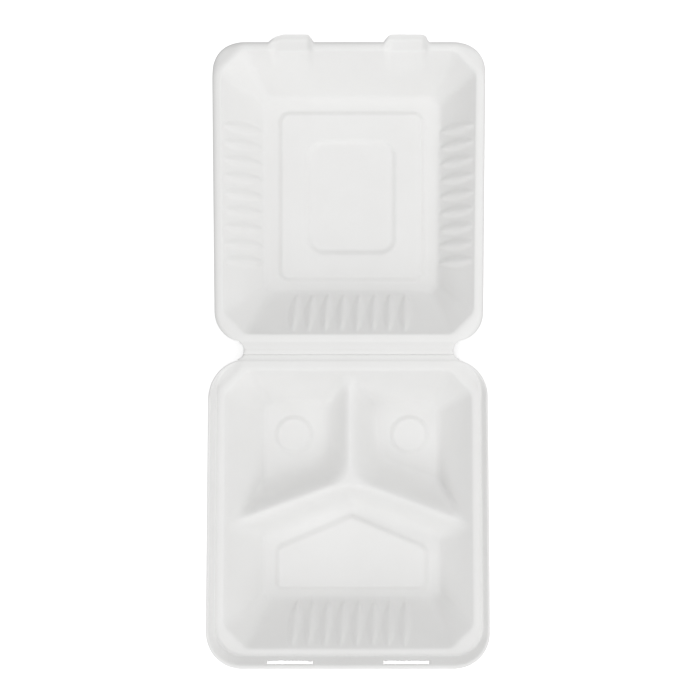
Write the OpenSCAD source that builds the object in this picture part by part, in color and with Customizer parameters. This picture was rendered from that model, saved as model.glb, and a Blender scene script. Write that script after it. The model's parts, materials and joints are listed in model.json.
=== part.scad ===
// Three-compartment food box pressed from plant fibre, shown open and flat.
// The base and the lid hang together at a fold across the middle of the sheet.
// The fold runs along X, the lid lies toward +Y and the box opens upward.

/* [Base] */
// Width of the base over its lip, at the front
base_w = 208; // [190:1:230]
// Distance from the fold to the front edge of the base
base_l = 232.3; // [215:0.1:250]
// Height from the table to the top of either rim, so that both halves lie flat
tray_h = 38; // [32:1:48]
// How far each side draws in toward the fold
draw_in = 2; // [0:0.5:4]
// Radius of the four outer corners of the base
base_corner_r = 26.5; // [22:0.5:32]
// Thickness of the pressed fibre
skin = 0.8; // [0.6:0.1:1.1]

/* [Rim of the base] */
// Height of the upturned lip over the rim
lip_h = 6; // [5:0.5:9]
// Width of the flat top of the lip at the sides
lip_land = 1.4; // [1:0.1:2.5]
// Width of the flat top of the lip at the front
lip_land_front = 2.4; // [1.5:0.1:3.5]
// Width of the sloping face of the lip at the sides
lip_slope = 2.2; // [1.5:0.1:3]
// Width of the sloping face of the lip at the front
lip_slope_front = 5; // [3.5:0.1:6]
// Height of the rounded bead beside the lip
bead_h = 0.8; // [0.4:0.1:1.2]
// Width from the outer edge to the opening, at the sides
rim_side = 12; // [10:0.5:15]
// Width from the outer edge to the opening, at the front
rim_front = 13.9; // [12.5:0.1:17]
// Width from the outer edge to the opening, along the fold
rim_back = 8.6; // [7.5:0.1:11]
// Leg of the slanted corners of the opening
corner_cut = 16; // [12:0.5:20]

/* [Walls and floor] */
// How far the side walls lean in on their way down
lean_side = 24; // [18:0.5:28]
// How far the wall at the front of either half leans in
lean_front = 27.5; // [20:0.5:30]
// How far the wall along the fold leans in
lean_back = 25.8; // [20:0.5:31]
// Radius between the walls and the floor
floor_r = 9; // [5:0.5:12]
// Radius of the edge at the opening
edge_r = 2; // [1.5:0.1:3]
// Leg of the slanted corners of the floor
floor_cut = 5; // [4:0.5:8]

/* [Divider] */
// Height of the divider above the floor
ridge_h = 26; // [18:1:30]
// Half width of the top of the divider
ridge_top = 3.2; // [2.5:0.1:5]
// Half width of the foot of the divider
ridge_foot = 17; // [12:0.5:20]
// Distance from the fold to the place where the three arms meet
ridge_meet = 96.4; // [85:0.1:110]
// Slope of the two front arms, in degrees
ridge_slope = 18.6; // [10:0.1:25]

/* [Raised panels] */
// Height of the raised panels
panel_h = 1.8; // [1:0.1:2.5]
// Radius of the round panel in each small compartment
disc_r = 15.3; // [11:0.1:17]
// Distance of the round panels from the middle of the box
disc_x = 44; // [38:0.5:48]
// Distance of the round panels from the fold
disc_y = 64.9; // [60:0.1:70]
// Half width of the five-sided panel in the large compartment
gable_x = 59; // [50:0.5:62]
// Distance from the fold to the peak of the five-sided panel
gable_peak = 124.9; // [122:0.1:130]
// Distance from the fold to the shoulders of the five-sided panel
gable_side = 149.9; // [140:0.1:160]
// Distance from the fold to the front edge of the five-sided panel
gable_front = 184.5; // [170:0.1:186]
// Half width of the outer panel of the lid
lid_panel_x = 56.4; // [50:0.1:60]
// Distance from the fold to the near edge of the outer panel of the lid
lid_panel_back = 51.6; // [50:0.1:60]
// Distance from the fold to the far edge of the outer panel of the lid
lid_panel_front = 182.6; // [175:0.1:185]
// Half width of the sunken panel inside it
lid_window_x = 32.4; // [25:0.1:40]
// Distance from the fold to the near edge of the sunken panel
lid_window_back = 74.1; // [65:0.1:90]
// Distance from the fold to the far edge of the sunken panel
lid_window_front = 158.1; // [140:0.1:170]

/* [Ribs] */
// Length of a leaf-shaped rib along its wall
rib_l = 38; // [28:0.5:40]
// Width of a rib at its middle
rib_w = 8.6; // [6:0.1:10]
// Height of a rib over its wall
rib_h = 2; // [1:0.1:3]
// Number of ribs on the front wall of the base and on the wall of the lid beside the fold
end_ribs = 8; // [4:1:9]
// Spacing of those ribs
end_rib_pitch = 11.8; // [10:0.1:13]
// Number of ribs on each side wall of the lid
side_ribs = 9; // [4:1:10]
// Spacing of the ribs on the side walls
side_rib_pitch = 12.45; // [10:0.05:13]
// Distance from the fold to the middle of the row on the side walls
side_rib_y = 116.2; // [110:0.1:125]

/* [Rim of the lid] */
// Clearance between the rolled edge of the shut lid and the lip
rim_clearance = 0.85; // [0.5:0.05:1.5]
// Depth of the rolled edge
roll_h = 4; // [2.5:0.1:4.5]
// Width of the rolled edge
roll_w = 4.3; // [3:0.1:5]
// Radius of the four outer corners of the lid
lid_corner_r = 21; // [18:0.5:23]
// How far the opening of the lid is larger than that of the base on each side
lid_overhang = 1.5; // [1:0.1:2.5]
// How far the wall of the lid beside the fold leans in
lid_lean_back = 31; // [24:0.5:34]

/* [Fold and closure] */
// Gap between the two halves at the fold and between their rims when shut
fold_gap = 0.3; // [0.2:0.05:0.5]
// Width of the plain strip on each side of the fold
fold_strip = 6.5; // [5:0.1:7]
// Depth of the plain strip below the rims
fold_sink = 0.15; // [0.05:0.05:0.3]
// Radius of the notch at each end of the fold
notch_r = 7.5; // [7.5:0.1:10]
// Distance of the tongues and slots from the middle of the box
latch_x = 42.5; // [36:0.5:48]
// Width of a slot
slot_w = 33.5; // [30:0.5:38]
// Height of a slot
slot_h = 3.1; // [2.6:0.1:3.4]
// Width of a tongue where it leaves the lid
tongue_w = 31; // [24:0.5:32]
// Width of the tip of a tongue
tongue_tip_w = 24; // [18:0.5:26]
// How far a tongue reaches past the edge of the lid
tongue_reach = 5.6; // [4:0.1:7]
// How far the tongues are sunk below the rim of the open lid
tongue_drop = 3; // [2.6:0.1:3.4]
// Width of the trough that leads to a tongue
trough_w = 35; // [32:0.5:38]
// How far the trough runs down the wall
trough_h = 17; // [12:0.5:22]

/* [Hidden] */
// Steps of an arc at a corner seen from above, and of an arc across a wall
corner_steps = 4;
wall_steps = 3;
// Overlap of pieces that grow together, and length of a cut past a face
lap = 2;
past = 10;
// Thickness of the outlines between which a hull is drawn
thin = 0.01;

// Chamfer whose middle lies where an arc of radius 1 would run
arc_cut = 2 - sqrt(2);
// Height of the floor below the rim
floor_z = skin - tray_h;
// Insets are written for the side, the front and the fold side of a half
base_box = [base_w / 2, base_w / 2 - draw_in, base_l, fold_strip];
base_opening = [rim_side, rim_front, rim_back];
lip_inner = [lip_land, lip_land_front, lip_land];
lip_foot = lip_inner + [lip_slope, lip_slope_front, lip_slope / 3];
base_lean = [lean_side, lean_front, lean_back];

// The shut lid sits inside the lip, so the lid follows the lip at the height of its rolled edge
roll_share = 1 - roll_h / lip_h;
lid_side = base_w / 2 - lip_land - lip_slope * roll_share - rim_clearance;
lid_l = base_l - lip_land_front - lip_slope_front * roll_share - rim_clearance;
lid_box = [lid_side, lid_side - draw_in, lid_l, fold_strip];
lid_opening = [
    lid_side - (base_w / 2 - rim_side) - lid_overhang,
    lid_l - (base_l - rim_front) - lid_overhang,
    rim_back - 2 * lid_overhang + fold_gap
];
lid_lean = [lean_side + lid_overhang, lean_front, lid_lean_back];

// The box is centred over its whole length, from the front lip to the tips of the tongues
fold_y = (base_l - lid_l - tongue_reach) / 2;

// Slot height at which a tongue passes through its middle when the lid is shut
slot_z = tongue_drop + fold_gap + skin / 2 - slot_h / 2;
// Distance from the fold at which the trough stops and the flat tongue starts
trough_end = lid_l - roll_w + 1;

function unit(v) = v / norm(v);

// Arc of n steps that rounds corner p between its neighbours a and b
function arc_at(a, p, b, r, n) =
    let (
        u = unit(a - p),
        v = unit(b - p),
        half = acos(u * v) / 2,
        centre = p + unit(u + v) * r / sin(half),
        s = p + u * r / tan(half) - centre,
        turn = (cross(u, v) < 0 ? 1 : -1) * (180 - 2 * half)
    )
    [for (i = [0:n]) let (w = turn * i / n)
        centre + [s.x * cos(w) - s.y * sin(w), s.x * sin(w) + s.y * cos(w)]];

// Closed outline with every corner rounded off
function rounded(corners, r, n) =
    let (m = len(corners))
    [for (i = [0:m - 1]) each
        arc_at(corners[(i + m - 1) % m], corners[i], corners[(i + 1) % m], r, n)];

// Half width of a half at the distance y from the fold
function half_width(box, y) =
    box[1] + (box[0] - box[1]) * (y - box[3]) / (box[2] - box[3]);

// Outline of a half, moved in by inset, with slanted corners of leg cut rounded by r
function outline(box, inset, cut, r) =
    let (
        y0 = box[3] + inset[2],
        y1 = box[2] - inset[1],
        x0 = half_width(box, y0) - inset[0],
        x1 = half_width(box, y1) - inset[0],
        taper = (x1 - x0) / (y1 - y0),
        right = [
            [x0 - cut, y0],
            [x0 + taper * cut, y0 + cut],
            [x1 - taper * cut, y1 - cut],
            [x1 - cut, y1]
        ],
        left = [for (i = [3:-1:0]) [-right[i].x, right[i].y]]
    )
    rounded(concat(right, left), r, corner_steps);

// The same outline with plain round corners
function round_outline(box, inset, r) = outline(box, inset, arc_cut * r, r);

// Share of its full height that the rim has reached at distance y from the fold
function rise(y, from, to) = pow(min(1, max(0, (y - from) / (to - from))), 1.5);

// Ring of points at height z, with lift added where the rim has risen
function ring(points, z, lift = 0, from = 0, to = 1) =
    [for (p = points) [p.x, p.y, z + lift * rise(p.y, from, to)]];

// Triangles between the rings a and b of n points each
function strip(a, b, n) =
    [for (i = [0:n - 1]) let (j = (i + 1) % n) each
        [[a * n + i, b * n + i, b * n + j], [a * n + i, b * n + j, a * n + j]]];

// Solid through rings that are listed from the bottom up
module loft(rings) {
    n = len(rings[0]);
    m = len(rings);
    sides = [for (k = [0:m - 2]) each strip(k, k + 1, n)];
    bottom = [for (i = [0:n - 1]) i];
    top = [for (i = [n - 1:-1:0]) (m - 1) * n + i];
    polyhedron([for (r = rings) each r], concat(sides, [bottom, top]));
}

// Closed band through rings that run once round its section
module band(rings) {
    n = len(rings[0]);
    m = len(rings);
    polyhedron(
        [for (r = rings) each r],
        [for (k = [0:m - 1]) each strip(k, (k + 1) % m, n)]
    );
}

// Shift that moves a wall of the given run and height outward by s
function wall_shift(run, height, s) = s * (norm([run, height]) - run) / height;

// Solid of a tray: its hollow for s = 0, its outside for s = skin
module tray(box, opening, lean, s) {
    height = -floor_z - bead_h;
    run = lean[0];
    shift = wall_shift(run, height, s);
    top = [0, -bead_h - s];
    foot = [run, floor_z - s];
    wall = concat(
        arc_at(foot + [past, 0], foot, top, floor_r + s, wall_steps),
        arc_at(foot, top, top - [past, 0], edge_r - s, wall_steps)
    );
    loft([
        for (p = wall)
            let (
                share = p.x / run,
                cut = corner_cut + (floor_cut - corner_cut) * max(0, min(1, share)) + arc_cut * shift,
                inset = opening + lean * share - [shift, shift, shift]
            )
            ring(outline(box, inset, cut, floor_cut + skin), p.y),
        if (s == 0)
            ring(outline(box, opening, corner_cut, floor_cut + skin), past)
    ]);
}

// Leaf-shaped rib, long along Y, that stands up along Z
module leaf(s) {
    translate([0, 0, -s])
        hull() {
            translate([0, 0, -skin - thin])
                linear_extrude(thin)
                    lens(rib_l, rib_w);
            translate([0, 0, rib_h - thin])
                linear_extrude(thin)
                    lens(rib_l * 0.8, rib_w * 0.2);
        }
}

// Outline between two equal arcs that meet in points
module lens(l, w) {
    r = (l * l + w * w) / (4 * w);
    intersection_for (side = [-1, 1])
        translate([side * (r - w / 2), 0])
            circle(r, $fn = 42);
}

// Row of ribs on a wall that faces the fold, centred on X
module rib_row(count, pitch, wall_y, run, s) {
    height = -floor_z - bead_h;
    for (i = [0:count - 1])
        translate([(i - (count - 1) / 2) * pitch, wall_y - run / 2, (floor_z - bead_h) / 2])
            rotate([atan(height / run), 0, 0])
                leaf(s);
}

// Panel raised over the floor by the height h, drawn from its outline
module panel(h, s) {
    shift = s / 2;
    hull() {
        translate([0, 0, floor_z - skin - past])
            linear_extrude(past + skin)
                offset(delta = -shift)
                    children();
        translate([0, 0, floor_z + h - s - thin])
            linear_extrude(thin)
                offset(delta = -h - shift)
                    children();
    }
}

// Half section of the divider, from its foot up to its top
function ridge_section(s) =
    let (
        shift = wall_shift(ridge_foot - ridge_top, ridge_h, s),
        foot = [ridge_foot - shift, floor_z - s],
        top = [ridge_top - shift, floor_z - s + ridge_h]
    )
    concat(
        [[0, foot.y - past], [foot.x + past, foot.y - past]],
        arc_at([foot.x + past, foot.y], foot, top, floor_r + s, wall_steps),
        arc_at(foot, top, [0, top.y], ridge_top - s, wall_steps - 1),
        [[0, top.y]]
    );

// One straight arm of the divider, from the origin along Y
module arm(length, s) {
    section = ridge_section(s);
    rotate([90, 0, 180])
        linear_extrude(length)
            polygon(concat(section, [for (i = [len(section) - 2:-1:1]) [-section[i].x, section[i].y]]));
}

// The divider: one arm to the fold side and two that slope forward to the side walls
module divider(s) {
    translate([0, ridge_meet, 0]) {
        rotate([0, 0, 180])
            arm(ridge_meet - fold_strip, s);
        for (side = [-1, 1])
            rotate([0, 0, side * (90 - ridge_slope)])
                arm(base_w / 2, s);
        rotate_extrude($fn = 24)
            polygon(ridge_section(s));
    }
}

module gable_outline() {
    polygon(rounded([
        [-gable_x, gable_side],
        [0, gable_peak],
        [gable_x, gable_side],
        [gable_x, gable_front],
        [-gable_x, gable_front]
    ], 5, corner_steps));
}

module rectangle_outline(x, y0, y1, r) {
    polygon(rounded([[-x, y0], [x, y0], [x, y1], [-x, y1]], r, corner_steps));
}

// Everything that stands up in the base
module base_relief(s) {
    divider(s);
    for (side = [-1, 1])
        panel(panel_h, s)
            translate([side * disc_x, disc_y])
                circle(disc_r, $fn = 48);
    panel(panel_h, s)
        gable_outline();
    rib_row(end_ribs, end_rib_pitch, base_l - rim_front, lean_front, s);
}

// Everything that stands up in the lid
module lid_relief(s) {
    difference() {
        panel(panel_h, s)
            rectangle_outline(lid_panel_x, lid_panel_back, lid_panel_front, 9);
        // The sunken panel goes back down by the same step
        translate([0, 0, floor_z - s])
            linear_extrude(past)
                offset(delta = s)
                    rectangle_outline(lid_window_x, lid_window_back, lid_window_front, 11);
    }
    rotate([0, 0, 180])
        rib_row(end_ribs, end_rib_pitch, -fold_strip - lid_opening[2], lid_lean[2], s);
    for (side = [-1, 1])
        translate([0, side_rib_y, 0])
            rotate([0, 0, -side * 90])
                rib_row(side_ribs, side_rib_pitch,
                    half_width(lid_box, side_rib_y) - lid_opening[0], lid_lean[0], s);
}

// Rim of the base: upturned lip, valley and rounded bead, open below
module base_rim() {
    function lip(inset, drop) =
        ring(round_outline(base_box, inset, base_corner_r - inset[0]), drop, lip_h,
            fold_strip, fold_strip + base_corner_r);
    function flat(inset, r, z) = ring(round_outline(base_box, inset, r), z);
    crest = (lip_foot + base_opening) / 2;
    inner = base_opening + [lap, lap, lap];
    face = [skin, skin, skin] / 2;
    band([
        lip([0, 0, 0], -skin),
        lip([0, 0, 0], 0),
        lip(lip_inner, 0),
        flat(lip_foot, base_corner_r - lip_foot[0], -bead_h),
        flat(crest, base_corner_r - crest[0], 0),
        ring(outline(base_box, inner, corner_cut, floor_cut + skin), -bead_h),
        ring(outline(base_box, inner, corner_cut, floor_cut + skin), -bead_h - 2 * skin),
        flat(crest, base_corner_r - crest[0], -skin),
        flat(lip_foot - face, base_corner_r - lip_foot[0], -bead_h - skin),
        lip(lip_inner - face, -skin)
    ]);
}

// Rim of the lid: flat flange whose outer edge rolls down
module lid_rim() {
    function roll(inset, z, drop = 0) =
        ring(round_outline(lid_box, [inset, inset, inset], lid_corner_r - inset), drop, z,
            fold_strip - lap, 2 * fold_strip);
    inner = lid_opening + [lap, lap, lap];
    band([
        roll(0, -roll_h),
        roll(roll_w * 0.15, -roll_h * 0.55),
        roll(roll_w * 0.5, -roll_h * 0.18),
        roll(roll_w, 0),
        ring(outline(lid_box, inner, corner_cut, floor_cut + skin), 0),
        ring(outline(lid_box, inner, corner_cut, floor_cut + skin), -2 * skin),
        roll(roll_w, 0, -skin),
        roll(roll_w * 0.5 + skin * 0.4, -roll_h * 0.18, -skin),
        roll(roll_w * 0.15 + skin * 0.8, -roll_h * 0.55, -skin * 0.5),
        roll(skin, -roll_h + skin / 4)
    ]);
}

// Distance from the middle of the box to the centre of the round notch beside a corner of radius r
function notch_reach(box, r) =
    box[1] - r + sqrt(pow(r + notch_r, 2) - pow(fold_strip + r, 2));

// Plain strip beside the fold, with half of the notch at each of its ends
module fold_web() {
    centre_x = (notch_reach(base_box, base_corner_r) + notch_reach(lid_box, lid_corner_r)) / 2;
    reach = fold_strip + lap;
    half_w = centre_x - notch_r / 4;
    translate([0, 0, -fold_sink - skin])
        linear_extrude(skin)
            difference() {
                translate([-half_w, fold_gap / 2])
                    square([2 * half_w, reach - fold_gap / 2]);
                for (side = [-1, 1])
                    translate([side * centre_x, 0])
                        circle(notch_r, $fn = 48);
            }
}

module base() {
    color("whitesmoke")
        translate([0, fold_y, tray_h])
            mirror([0, 1, 0])
                difference() {
                    union() {
                        base_rim();
                        fold_web();
                        tray(base_box, base_opening, base_lean, skin);
                    }
                    difference() {
                        tray(base_box, base_opening, base_lean, 0);
                        base_relief(0);
                    }
                    base_relief(skin);
                    slots();
                }
}

// Slots in the front lip that take the tongues
module slots() {
    for (side = [-1, 1])
        translate([side * latch_x - slot_w / 2, base_l - lip_land_front - lip_slope_front - skin, slot_z])
            cube([slot_w, past + past, slot_h]);
}

// Trough sunk into the rim and the front wall of the lid, which leads to a tongue
module trough(s) {
    low = tongue_tip_w + 2 * s;
    drop = tongue_drop + s;
    widening = (trough_w - tongue_tip_w) / tongue_drop;
    top = s == 0 ? tongue_drop : -skin / 2;
    top_w = low + widening * (top + drop);
    wall_y = lid_l - lid_opening[1];
    slope = lid_lean[1] / (-floor_z - bead_h);
    hull() {
        translate([-top_w / 2, wall_y - slope * tongue_drop, top - thin])
            cube([top_w, trough_end - wall_y + slope * tongue_drop, thin]);
        translate([-low / 2, wall_y, -drop])
            cube([low, trough_end - wall_y, thin]);
        translate([-low / 2 + skin, wall_y - slope * (trough_h - s), -trough_h - s])
            cube([low - 2 * skin, thin, thin]);
    }
    // At the front the solid slopes down inside the rolled edge, and the hollow is open
    hull() {
        translate([-top_w / 2, trough_end - lap, top - thin])
            cube([top_w, s == 0 ? lap + past : lap, thin]);
        translate([-low / 2, trough_end - lap, -drop])
            cube([low, s == 0 ? lap + past : lap + roll_w, thin]);
    }
}

// Flat tongue that passes through a slot of the base
module tongue() {
    translate([0, 0, -tongue_drop - skin])
        linear_extrude(skin)
            polygon([
                [-tongue_w / 2, trough_end - lap],
                [tongue_w / 2, trough_end - lap],
                [tongue_w / 2, lid_l],
                [tongue_tip_w / 2, lid_l + tongue_reach],
                [-tongue_tip_w / 2, lid_l + tongue_reach],
                [-tongue_w / 2, lid_l]
            ]);
}

module lid() {
    color("whitesmoke")
        translate([0, fold_y, tray_h])
            difference() {
                union() {
                    lid_rim();
                    fold_web();
                    tray(lid_box, lid_opening, lid_lean, skin);
                    for (side = [-1, 1])
                        translate([side * latch_x, 0, 0]) {
                            trough(skin);
                            tongue();
                        }
                }
                difference() {
                    tray(lid_box, lid_opening, lid_lean, 0);
                    lid_relief(0);
                }
                lid_relief(skin);
                for (side = [-1, 1])
                    translate([side * latch_x, 0, 0])
                        trough(0);
            }
}

base();
lid();
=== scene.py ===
# %% [markdown]
# # A food box pressed from plant fibre
# The real box is one sheet of wet fibre pulp, pressed between two heated moulds and dried there.
# It lies open and flat: the base with its three compartments in front, the lid behind it.
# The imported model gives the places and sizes. This script builds the same two halves again as
# fine sheets with soft bends, because a pressed sheet has no sharp edge anywhere.

import json

import bpy
import numpy as np
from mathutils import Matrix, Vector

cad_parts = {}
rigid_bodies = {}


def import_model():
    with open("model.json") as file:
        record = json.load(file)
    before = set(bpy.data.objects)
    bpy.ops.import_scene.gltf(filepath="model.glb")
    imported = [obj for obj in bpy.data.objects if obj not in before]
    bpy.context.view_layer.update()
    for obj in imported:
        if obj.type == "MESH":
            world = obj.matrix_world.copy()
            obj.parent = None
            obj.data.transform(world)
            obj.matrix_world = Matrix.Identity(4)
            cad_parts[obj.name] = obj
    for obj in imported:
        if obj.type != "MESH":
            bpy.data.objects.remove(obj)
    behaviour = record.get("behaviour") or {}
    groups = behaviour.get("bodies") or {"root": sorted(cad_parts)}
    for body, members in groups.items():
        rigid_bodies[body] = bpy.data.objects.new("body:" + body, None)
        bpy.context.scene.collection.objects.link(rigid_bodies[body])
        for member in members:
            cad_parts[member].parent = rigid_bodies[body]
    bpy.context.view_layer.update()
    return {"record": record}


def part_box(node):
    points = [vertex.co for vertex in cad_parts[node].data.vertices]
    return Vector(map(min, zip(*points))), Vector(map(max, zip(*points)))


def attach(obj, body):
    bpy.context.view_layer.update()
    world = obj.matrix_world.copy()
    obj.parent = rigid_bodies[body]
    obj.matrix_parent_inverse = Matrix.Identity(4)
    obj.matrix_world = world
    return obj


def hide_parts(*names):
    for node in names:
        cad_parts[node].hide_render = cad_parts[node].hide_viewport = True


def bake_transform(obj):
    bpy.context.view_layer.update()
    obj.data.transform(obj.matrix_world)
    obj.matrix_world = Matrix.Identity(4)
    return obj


for thing in list(bpy.data.objects):
    bpy.data.objects.remove(thing)
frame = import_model()

# %% [markdown]
# ## One way of measuring for both halves
# Both halves are the same kind of tray, so both are drawn in the same measures, in millimetres:
# x across, v away from the fold, z up from the rim. At the end they are turned to the two sides
# of the fold. Each half could be drawn in place instead, but then every formula would be
# written twice.

# %% Measures shared by the halves
MM = 0.001
RIM_Z = 38.0
FOLD_GAP = 0.3
STRIP = 6.5
SKIN = 0.8
DRAW_IN = 2.0
FLOOR_Z = SKIN - RIM_Z
FOLD_Y = frame["record"]["behaviour"]["joints"][0]["pos_m"][1] / MM


class Half:
    """One half of the box: its widths, its length and the side of the fold it lies on."""

    def __init__(self, node, corner, past_edge, side):
        low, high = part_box(node)
        self.node = node
        self.corner = corner
        self.side = side
        self.length = max(abs(low.y / MM - FOLD_Y), abs(high.y / MM - FOLD_Y)) - past_edge
        self.front = high.x / MM + DRAW_IN * corner / self.length
        self.back = self.front - DRAW_IN

    def width(self, v):
        """Half width of the sheet at the distance v from the fold."""
        return self.back + DRAW_IN * (v - STRIP) / (self.length - STRIP)

    def place(self, x, v, z):
        """Points of the half as metres in the frame."""
        return np.stack([x, FOLD_Y + self.side * v, RIM_Z + z], -1) * MM


base = Half("base", corner=26.5, past_edge=0.0, side=-1)
lid = Half("lid", corner=21.0, past_edge=5.6, side=1)
for half in (base, lid):
    print(half.node, "half width", round(half.front, 2), "length", round(half.length, 2))

# %% [markdown]
# ## Soft shapes from numbers
# Steps, valleys and ridges of a pressed sheet run into each other without a line. A smooth step
# and a smooth maximum do that: they follow one value, then the other, and round the change.

# %% Smooth steps
def smooth(t):
    """0 below 0, 1 above 1 and an S between."""
    t = np.clip(t, 0.0, 1.0)
    return t * t * (3.0 - 2.0 * t)


def soft_max(a, b, width):
    """The larger of a and b, rounded where they are less than width apart."""
    share = np.clip(0.5 + 0.5 * (a - b) / width, 0.0, 1.0)
    return b + (a - b) * share + width * share * (1.0 - share)


def soft_min(a, b, width):
    return -soft_max(-a, -b, width)


print("two banks 1 mm high, joined over 4 mm:", soft_max(1.0, 1.0, 4.0), "mm")

# %% [markdown]
# ## The outline
# Seen from above, every line of a half is a slightly tapered rectangle with slanted, rounded
# corners: the outer edge, the crest of the bead, the opening and the floor. One function draws
# all of them, and another puts the same number of points on each, so that neighbouring lines
# can be joined by four-sided faces. Extra points stand where the ribs, slots and tongues are.

# %% One line of a half
ARC_STEPS = 14


def arc(before, corner, after, radius):
    """Points that round a corner between its two neighbours."""
    u = (before - corner) / np.linalg.norm(before - corner)
    w = (after - corner) / np.linalg.norm(after - corner)
    half_angle = np.arccos(np.clip(u @ w, -1, 1)) / 2
    bisector = (u + w) / np.linalg.norm(u + w)
    centre = corner + bisector * radius / np.sin(half_angle)
    start = corner + u * radius / np.tan(half_angle) - centre
    end = corner + w * radius / np.tan(half_angle) - centre
    turn = np.arctan2(start[0] * end[1] - start[1] * end[0], start @ end)
    angles = turn * np.linspace(0, 1, ARC_STEPS)
    return np.stack([
        centre[0] + start[0] * np.cos(angles) - start[1] * np.sin(angles),
        centre[1] + start[0] * np.sin(angles) + start[1] * np.cos(angles),
    ], -1)


def right_side(half, side, front, back, cut, radius):
    """Right half of a line, from the middle of the fold side round to the middle of the front."""
    v0, v1 = STRIP + back, half.length - front
    x0, x1 = half.width(v0) - side, half.width(v1) - side
    taper = (x1 - x0) / (v1 - v0)
    corners = np.array([
        [0, v0], [x0 - cut, v0], [x0 + taper * cut, v0 + cut],
        [x1 - taper * cut, v1 - cut], [x1 - cut, v1], [0, v1],
    ])
    radius = min(radius, 1.7 * cut)
    arcs = [arc(corners[k - 1], corners[k], corners[k + 1], radius) for k in (1, 2, 3, 4)]
    return np.vstack([corners[:1], *arcs, corners[-1:]])


print("points that round a corner:", ARC_STEPS)

# %% [markdown]
# The lines differ in length. Even steps along each would drift from line to line, so the points
# are tied to places instead: over the slots, round the corners and along the side.

# %% Points along a line
LATCH_X = 42.5
SLOT_W = 33.5
SLOT_NEAR, SLOT_FAR = LATCH_X - SLOT_W / 2, LATCH_X + SLOT_W / 2
SIDE_START, SIDE_END = 62.0, 172.0
TO_SLOT, OVER_SLOT, ALONG_SIDE = 23, 31, 80
TO_SLANT, FROM_SLANT = 18, 24
across = np.concatenate([
    np.linspace(0, SLOT_NEAR, TO_SLOT + 1)[:-1],
    np.linspace(SLOT_NEAR, SLOT_FAR, OVER_SLOT + 1),
])
along = np.linspace(SIDE_START, SIDE_END, ALONG_SIDE + 1)


def stations(line):
    """The line again, with its points where every other line has them."""
    steps = np.linalg.norm(np.diff(line, axis=0), axis=1)
    run = np.concatenate([[0], np.cumsum(steps)])
    # Each slanted corner is halved between the two arcs that round it
    back_mid = (run[ARC_STEPS] + run[ARC_STEPS + 1]) / 2
    front_mid = (run[3 * ARC_STEPS] + run[3 * ARC_STEPS + 1]) / 2
    back_part = run <= back_mid
    front_part = run >= front_mid
    side_part = (run > back_mid) & (run < front_mid)
    back = np.interp(across, line[back_part, 0], run[back_part])
    side = np.interp(along, line[side_part, 1], run[side_part])
    front = np.interp(across, line[front_part, 0][::-1], run[front_part][::-1])[::-1]
    places = np.concatenate([
        back[:-1],
        np.linspace(back[-1], back_mid, TO_SLANT + 1)[:-1],
        np.linspace(back_mid, side[0], FROM_SLANT + 1)[:-1],
        side[:-1],
        np.linspace(side[-1], front_mid, FROM_SLANT + 1)[:-1],
        np.linspace(front_mid, front[0], TO_SLANT + 1)[:-1],
        front,
    ])
    return np.stack([np.interp(places, run, line[:, 0]), np.interp(places, run, line[:, 1])], -1)


QUARTER = len(across) - 1 + TO_SLANT
HALF_ROUND = 2 * (QUARTER + FROM_SLANT) + len(along) - 1
ROUND = 2 * HALF_ROUND
print("points on each line:", ROUND)

# %% [markdown]
# ## The section
# The section through rim, wall and floor is a list of lines, each with its insets from the outer
# edge and its height. A few lines are given one by one, as a draughtsman would. Cutting off
# their corners several times turns that section into a smooth curve, and even steps along
# it give the final lines: close together over the rim, wider apart down the wall.

# %% Lines of the section
ARC_CUT = 2 - np.sqrt(2)
OPENING_CUT = 15.8
RIM_FACES, WALL_FACES = (0.72, 0.62), 2.15


def line(side, front, back, z, z_back=None, lift=0.0, corner=None, cut=None, radius=None):
    """One line of the section: insets, height, height at the fold, lip height and corners."""
    if corner is not None:
        cut, radius = ARC_CUT * corner, corner
    return [side, front, back, z, z if z_back is None else z_back, lift, cut, radius]


def down_the_wall(opening, lean, top, shares):
    """Lines down a straight wall, from the opening to the floor."""
    made = []
    for share in shares:
        inset = [o + share * l for o, l in zip(opening, lean)]
        cut = 16 + (5 - 16) * share
        made.append(line(*inset, z=top + share * (FLOOR_Z - top), cut=cut, radius=9 - 2 * share))
    return made


def cut_corners(lines, times):
    """The section with its corners cut off, again and again, until it is a curve."""
    lines = np.array(lines, float)
    for _ in range(times):
        near = 0.75 * lines[:-1] + 0.25 * lines[1:]
        far = 0.25 * lines[:-1] + 0.75 * lines[1:]
        inner = np.stack([near, far], 1).reshape(-1, lines.shape[1])
        lines = np.vstack([lines[:1], inner[1:-1], lines[-1:]])
    return lines


def even_steps(lines, rim_step, wall_step, opening):
    """The section again in steps of rim_step over the rim and wall_step below it."""
    height = lines[:, 3] + lines[:, 5]
    middle = lines[:, :3].mean(1)
    run = np.concatenate([[0], np.cumsum(np.hypot(np.diff(middle), np.diff(height)))])
    below = smooth((middle - opening) / 4)
    density = 1 / (rim_step + (wall_step - rim_step) * below)
    count = np.concatenate([[0], np.cumsum(np.diff(run) * (density[1:] + density[:-1]) / 2)])
    wanted = np.linspace(0, count[-1], int(round(count[-1])) + 1)
    return np.stack([np.interp(wanted, count, column) for column in lines.T], -1)


print("a corner of 20 mm is cut off over", round(float(20 * ARC_CUT), 2), "mm")

# %% [markdown]
# ## Section of the base
# From the outside in: an upturned lip with a narrow flat top, its sloping inner face, a valley,
# a rounded bead that carries the shut lid, the opening, the wall and the floor. Beside the
# fold the lip is gone, and only a ledge stands there.

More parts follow.
